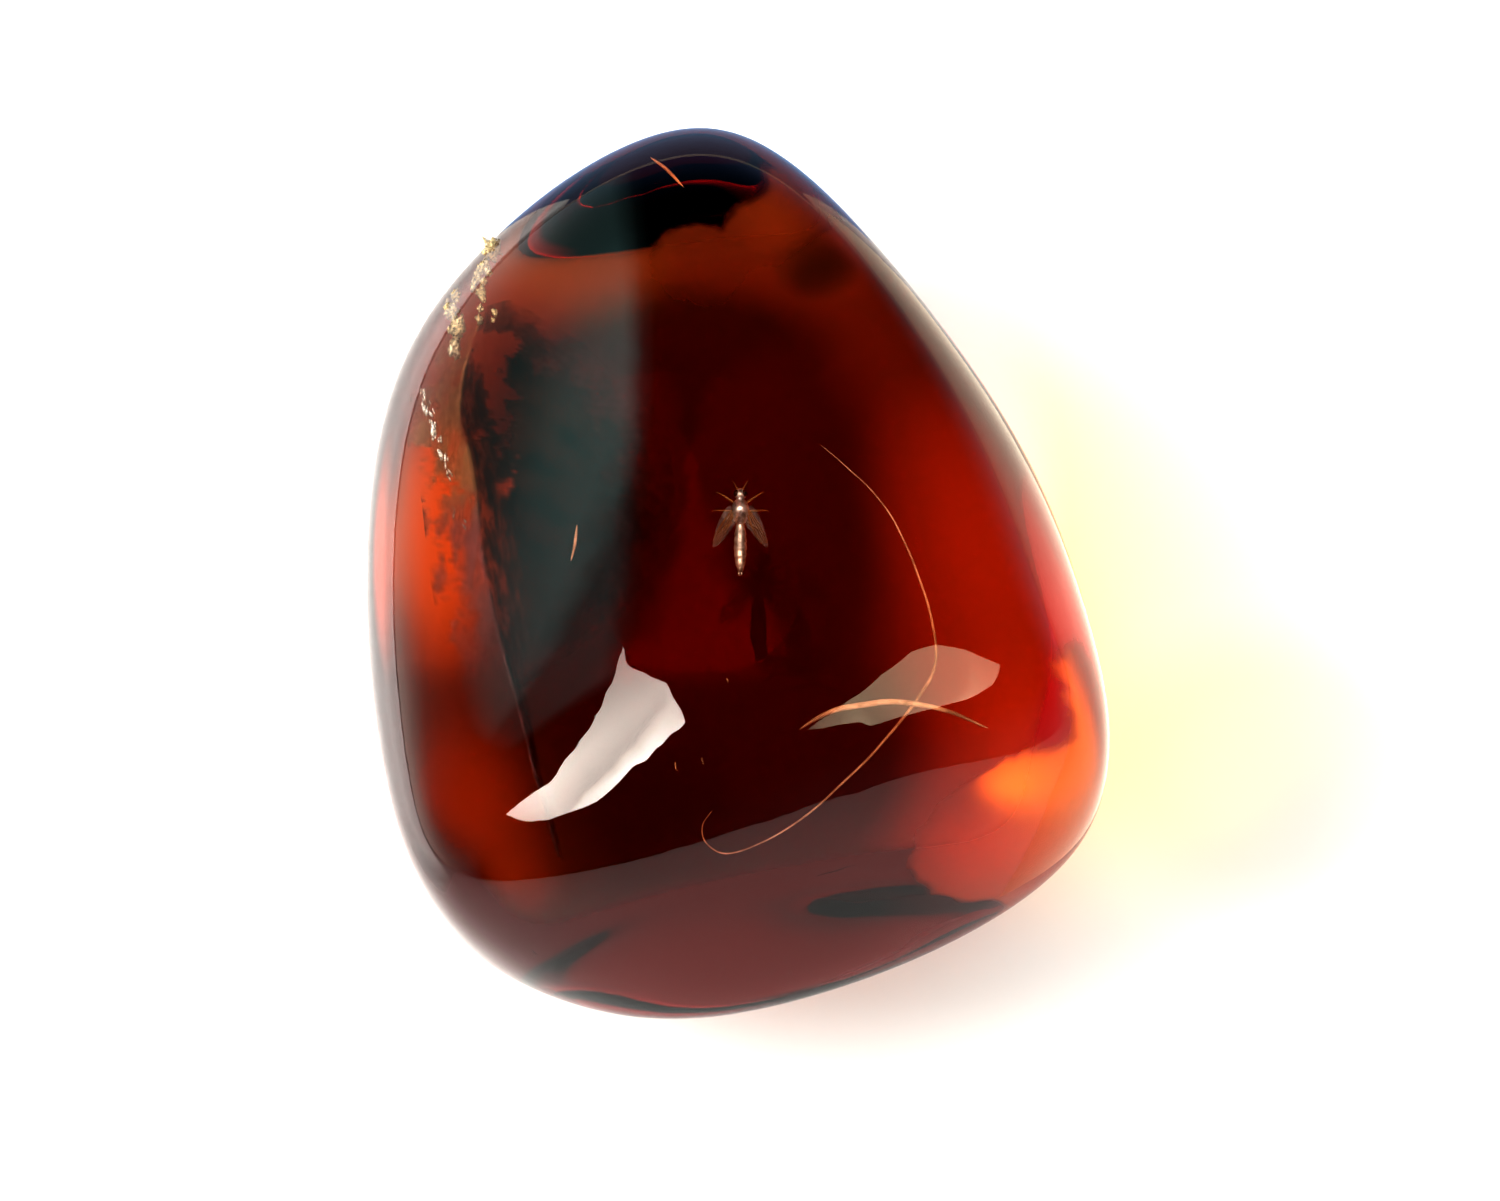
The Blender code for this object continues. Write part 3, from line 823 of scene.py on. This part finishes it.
noise.seed_set(4)
flecks = object_from(flecks_shape(), "gold_flecks", gold_blister())
belongs(flecks, "amber")


# %% [markdown]
# ## The paper
#
# The pebble lies on white paper. It is a thick lens: it gathers the room's light into
# bright spots under its flanks, keeps the paper under its middle in the dark, and throws
# an orange-yellow patch beside it. Those are caustics, which a path tracer finds only by
# luck, so they would be noise for hours. Here the paper gives that light off itself: each
# glow is a soft round or oval spot with a radiance, and each shade a grey one. A little
# blue in the glows never reaches the eye through the amber, but keeps them from looking
# painted where the paper is seen past the stone.

# %% Paper: glows and shades, places and reaches in mm
FLOOR_SIZE = 2.0                  # metres
FLOOR_DROP = -0.05 * MM           # just under the foot, so that the two never coincide
GLOWS = {          # place, reach across to 0 and to full, reach along / across, radiance
    "gathered under the left side": ((-7.6, 0.6), (2.2, 1.2), 2.6, (1.9, 2.0, 1.1)),
    "gathered below the crack": ((-4.9, 0.4), (1.3, 0.3), 2.6, (1.7, 1.4, 0.9)),
    "gathered under the right side": ((6.0, 3.2), (3.6, 1.8), 1.8, (0.75, 0.25, 0.2)),
    "gathered under the broad end": ((6.2, -4.6), (3.4, 0.8), 1.0, (1.3, 0.3, 0.2)),
    "hot spot under the broad end": ((5.8, -1.8), (0.9, 0.4), 1.0, (7.0, 8.0, 2.0)),
    "gathered under the narrow end": ((-3.6, 8.4), (2.4, 1.0), 1.0, (0.2, 0.5, 0.2)),
    "bright corner of the narrow end": ((0.8, 9.4), (1.2, 0.4), 1.0, (2.2, 1.6, 0.8)),
    "cast beside the pebble": ((10.5, -0.5), (8.5, 0.0), 1.2, (0.9, 0.5, 0.0)),
    "bright table to the left": ((-110.0, 10.0), (103.0, 75.0), 1.0, (3.4, 3.3, 3.2)),
}
SHADES = {         # paper in the dark under the foot
    "middle": ((-1.3, 0.6), (6.0, 4.2), 1.3),
    "towards the narrow end": ((-1.2, 5.2), (4.2, 2.6), 0.7),
    "corner of the narrow end": ((1.5, 7.9), (1.0, 0.3), 1.0),
    "towards the crack's foot": ((-4.4, -3.6), (2.4, 1.2), 1.0),
}
# painted shade: the paper is a touch pink at the soft outer edge of the pebble's cast shadow
PAINTED_SHADOW_FRINGE = ((15.0, -4.5), (6.5, 3.0), 0.8)     # paper just past the cast light, a touch pink


def make_paper():
    """White paper, lit where the stone gathers light and grey where it keeps light off."""
    made, tree = new_material("white paper on a pale table")
    place = add(tree, "ShaderNodeTexCoord")

    def spot(middle, reach, stretch):
        """1 within the inner reach, fading to 0 at the outer one. Lengths in mm."""
        shift = add(tree, "ShaderNodeVectorMath", {1: (middle[0] * MM, middle[1] * MM, 0)},
                    {0: place.outputs["Object"]}, operation="SUBTRACT")
        even = add(tree, "ShaderNodeVectorMath", {1: (1, 1 / stretch, 1)}, {0: shift.outputs[0]},
                   operation="MULTIPLY")
        away = add(tree, "ShaderNodeVectorMath", links={0: even.outputs[0]}, operation="LENGTH")
        return add(tree, "ShaderNodeMapRange",
                   {"From Min": reach[0] * MM, "From Max": reach[1] * MM},
                   {"Value": away.outputs["Value"]}, interpolation_type="SMOOTHSTEP")

    total = None
    for *where, radiance in GLOWS.values():
        lit = add(tree, "ShaderNodeVectorMath", {0: radiance}, {"Scale": spot(*where).outputs[0]},
                  operation="SCALE")
        total = lit if total is None else add(tree, "ShaderNodeVectorMath", operation="ADD",
                                              links={0: total.outputs[0], 1: lit.outputs[0]})
    shade = None
    for where in SHADES.values():
        dark = spot(*where)
        shade = dark if shade is None else add(tree, "ShaderNodeMath", operation="MAXIMUM",
                                               links={0: shade.outputs[0], 1: dark.outputs[0]})
    # painted shade: the paper turns a touch pink at the soft outer edge of the pebble's cast shadow
    paper = add(tree, "ShaderNodeMix", {"A": colour("#f2f2f0"), "B": colour("#eae5e2")},
                {"Factor": spot(*PAINTED_SHADOW_FRINGE).outputs[0]}, data_type="RGBA")
    tone = add(tree, "ShaderNodeMix", {"B": colour("#949492")},
               {"A": paper.outputs["Result"], "Factor": shade.outputs[0]}, data_type="RGBA")
    sheet = add(tree, "ShaderNodeBsdfPrincipled", {
        "Roughness": 0.9, "Specular IOR Level": 0.0, "Emission Strength": 1.0},
        {"Base Color": tone.outputs["Result"], "Emission Color": total.outputs[0]})
    add(tree, "ShaderNodeOutputMaterial", links={"Surface": sheet.outputs[0]})
    return made


floor_shape = bmesh.new()
bmesh.ops.create_grid(floor_shape, x_segments=1, y_segments=1, size=FLOOR_SIZE / 2)
floor = object_from(floor_shape, "floor", make_paper())
floor.location.z = FLOOR_DROP
print("paper:", len(GLOWS), "glows and", len(SHADES), "shades")


# %% [markdown]
# ## Light
#
# One large softbox on the left lights the paper and the pieces in the resin. The rest of
# the light comes from a plain pale world.

# %% The key light
LAMP_AIM = Vector((0, 0, 6)) * MM


def heading(turn, rise):
    """Unit vector from a compass direction and a rise, in degrees."""
    turn, rise = math.radians(turn), math.radians(rise)
    level = math.cos(rise)
    return Vector((level * math.cos(turn), level * math.sin(turn), math.sin(rise)))


def softbox(name, turn, rise, distance, size, radiance):
    """A square lamp that lights surfaces, but isn't seen in or through the amber."""
    lamp = bpy.data.lights.new(name, "AREA")
    lamp.shape = "RECTANGLE"
    lamp.size = lamp.size_y = size
    lamp.energy = radiance * math.pi * size ** 2
    made = bpy.data.objects.new(name, lamp)
    bpy.context.scene.collection.objects.link(made)
    out = heading(turn, rise)
    made.location = LAMP_AIM + out * distance
    made.rotation_euler = out.to_track_quat("Z", "Y").to_euler()
    made.visible_camera = made.visible_glossy = made.visible_transmission = False
    return made


key = softbox("key", 168, 36, 0.25, 0.16, 10)
print("key light:", round(key.data.energy, 3), "W")


# %% [markdown]
# ## What the skin mirrors
#
# Most of what the eye reads as polish is the mirrored room: two windows and the pale
# table. A lamp would be mirrored as a plain rectangle, so each is a glowing pane with its
# own outline, whose corners carry their own radiance and whose rim fades out. They are
# seen in mirrored rays only. Light that crosses the pebble is folded many times by its
# facets, and a sharp pane seen that way would fill the amber with red squiggles.

# %% Windows and table
def show_only(piece, mirrored):
    """Seen in polished surfaces, or else through the amber, and nowhere else."""
    piece.visible_camera = piece.visible_diffuse = piece.visible_shadow = False
    piece.visible_glossy = mirrored
    piece.visible_transmission = not mirrored


def glowing(name):
    """Gives off the colour that the mesh carries at each corner."""
    made, tree = new_material(name)
    glow_colour = add(tree, "ShaderNodeAttribute", attribute_name="glow")
    glow = add(tree, "ShaderNodeEmission", {"Strength": 1.0},
               {"Color": glow_colour.outputs["Color"]})
    add(tree, "ShaderNodeOutputMaterial", links={"Surface": glow.outputs[0]})
    return made


def window(name, corners, height, tint, feather):
    """A glowing pane. Each corner is x and y per unit of height, and a radiance. The glow
    fades out over the outer strip, which is feather metres wide."""
    shape = bmesh.new()
    layer = shape.verts.layers.float_color.new("glow")
    for x, y, radiance in corners:
        vert = shape.verts.new((x * height, y * height, height))
        vert[layer] = [c * radiance for c in colour(tint)[:3]] + [1.0]
    pane = shape.faces.new(shape.verts)
    bmesh.ops.inset_region(shape, faces=[pane], thickness=feather, use_boundary=True,
                           use_even_offset=True)
    for vert in shape.verts:
        if vert.is_boundary:
            vert[layer] = (0.0, 0.0, 0.0, 1.0)
    show_only(object_from(shape, name, glowing(name)), mirrored=True)


window("window_left", [
    (-0.12, 0.40, 8), (-0.02, 0.25, 13), (0.10, -0.07, 18), (0.18, -0.38, 29),
    (0.35, -1.01, 23), (0.34, -1.20, 15), (0.15, -0.94, 13), (-0.08, -0.54, 15),
    (-0.01, -0.25, 22), (-0.08, 0.18, 14)], 0.4, "#fff8ee", 0.012)
window("window_right", [
    (0.49, -0.91, 3), (0.38, -0.49, 6), (0.35, -0.19, 6), (0.40, 0.02, 6), (0.52, 0.07, 6),
    (0.75, 0.00, 6.5), (1.24, -0.26, 6), (1.27, -0.80, 7.5), (1.19, -1.28, 9.5),
    (1.21, -1.91, 7), (1.32, -2.46, 4), (0.68, -1.19, 7.5)], 0.3, "#f6eecc", 0.02)
window("table_right", [
    (11, -14, 1.6), (11, -4, 2.6), (11, 6, 3.0), (8, 12, 2.6), (30, 60, 2.2), (90, 90, 1.8),
    (300, 100, 1.6), (300, -60, 1.6), (60, -40, 1.6), (24, -26, 1.4)], 0.001, "#fff6e2", 0.0004)
window("table_behind", [
    (-8, 12, 1.5), (0, 12.5, 1.3), (6, 12.5, 1.5), (26, 60, 1.0), (80, 150, 1.0),
    (-80, 150, 1.0), (-30, 60, 1.0)], 0.001, "#a6c2e8", 0.0004)


# %% [markdown]
# Two domes stand in for the rest of the room. One is mirrored only: pale at the horizon,
# with a strip of curtain up the back. The other is seen only through the amber, and is so
# soft that the folded light shows as broad bands of red. Each is described by brightness
# per compass direction and per rise, which is the easiest way to walk round a room.

# %% Domes
DOME_TURNS = np.arange(-70, 291, 2.0)
DOME_RISES = np.arange(0, 90.1, 1.5)
DOME_DISTANCE = 0.6               # metres


def level_at(place, curve):
    """Reads a curve, given as {place: level}, at one place."""
    return np.interp(place, list(curve), list(curve.values()))


def backdrop(name, parts, mirrored):
    """A dome round the pebble. Each part gives brightness by compass direction, a share of
    it by rise, and a tint; the parts add up."""
    shape = bmesh.new()
    layer = shape.verts.layers.float_color.new("glow")
    grid = bmesh.ops.create_grid(shape, x_segments=len(DOME_TURNS) - 1,
                                 y_segments=len(DOME_RISES) - 1, size=1.0)["verts"]
    for number, vert in enumerate(grid):
        rise, turn = DOME_RISES[number // len(DOME_TURNS)], DOME_TURNS[number % len(DOME_TURNS)]
        total = np.zeros(3)
        for by_turn, by_rise, tint in parts:
            total += level_at(turn, by_turn) * level_at(rise, by_rise) * np.array(colour(tint)[:3])
        vert.co = heading(turn, rise) * DOME_DISTANCE
        vert[layer] = [*total, 1.0]
    bmesh.ops.reverse_faces(shape, faces=shape.faces[:])
    show_only(object_from(shape, name, glowing(name)), mirrored)


backdrop("room", [
    ({107: 0.0, 112: 0.4, 118: 1.0, 124: 2.4, 135: 2.9, 165: 4.2, 190: 4.4, 210: 3.8, 225: 2.8,
      240: 1.7, 255: 0.8, 265: 0.0},
     {0: 1.0, 10: 0.8, 20: 0.5, 30: 0.2, 40: 0.08, 50: 0.03, 60: 0.0}, "#fff8ee"),
    ({-70: 0.0, -45: 0.5, -30: 1.0, -15: 1.6, 15: 1.5, 30: 1.2, 45: 0.8, 75: 0.4, 90: 0.0},
     {0: 1.0, 5: 0.6, 10: 0.3, 15: 0.1, 20: 0.0}, "#f4f6ff"),
    ({50: 0.0, 75: 0.8, 100: 0.7, 125: 0.4, 140: 0.0},
     {0: 1.0, 10: 0.6, 20: 0.2, 30: 0.0}, "#6f9cea"),
    ({105.5: 0.0, 109.5: 2.8, 113: 2.7, 120: 2.4, 128: 1.8, 138: 1.0, 146: 0.0},
     {0: 0.3, 20: 0.3, 38: 0.4, 47: 0.6, 55: 1.0, 61: 1.0, 62.5: 0.35, 69: 0.3, 71: 0.0},
     "#b6f3ee"),
], mirrored=True)
backdrop("light_in_the_amber", [
    ({130: 0.0, 150: 4.0, 172: 6.5, 184: 6.5, 205: 0.0},
     {14: 0.0, 28: 1.0, 42: 1.0, 58: 0.0}, "#ffffff"),
    ({-70: 0.0, -40: 5.5, 215: 5.5, 250: 0.0}, {45: 0.0, 80: 1.0}, "#ffffff"),
    ({50: 0.0, 70: 20.0, 110: 20.0, 130: 0.0}, {68: 0.0, 76: 1.0, 84: 1.0, 90: 0.5}, "#ffffff"),
    ({-70: 0.0, -40: 1.2, 215: 1.2, 250: 0.0}, {0: 1.0, 90: 1.0}, "#ffffff"),
    ({-70: 0.4, 290: 0.4}, {0: 1.0, 35: 1.0, 45: 0.0}, "#ffffff"),
], mirrored=False)

# %% World and display
world = bpy.data.worlds.new("studio")
bpy.context.scene.world = world
world.use_nodes = True
background = world.node_tree.nodes["Background"]
background.inputs["Color"].default_value = colour("#fffefa")
background.inputs["Strength"].default_value = 1.3
world.cycles_visibility.glossy = False
bpy.context.scene.view_settings.view_transform = "Standard"
bpy.context.scene.view_settings.gamma = 0.7
print("world strength:", round(background.inputs["Strength"].default_value, 2))
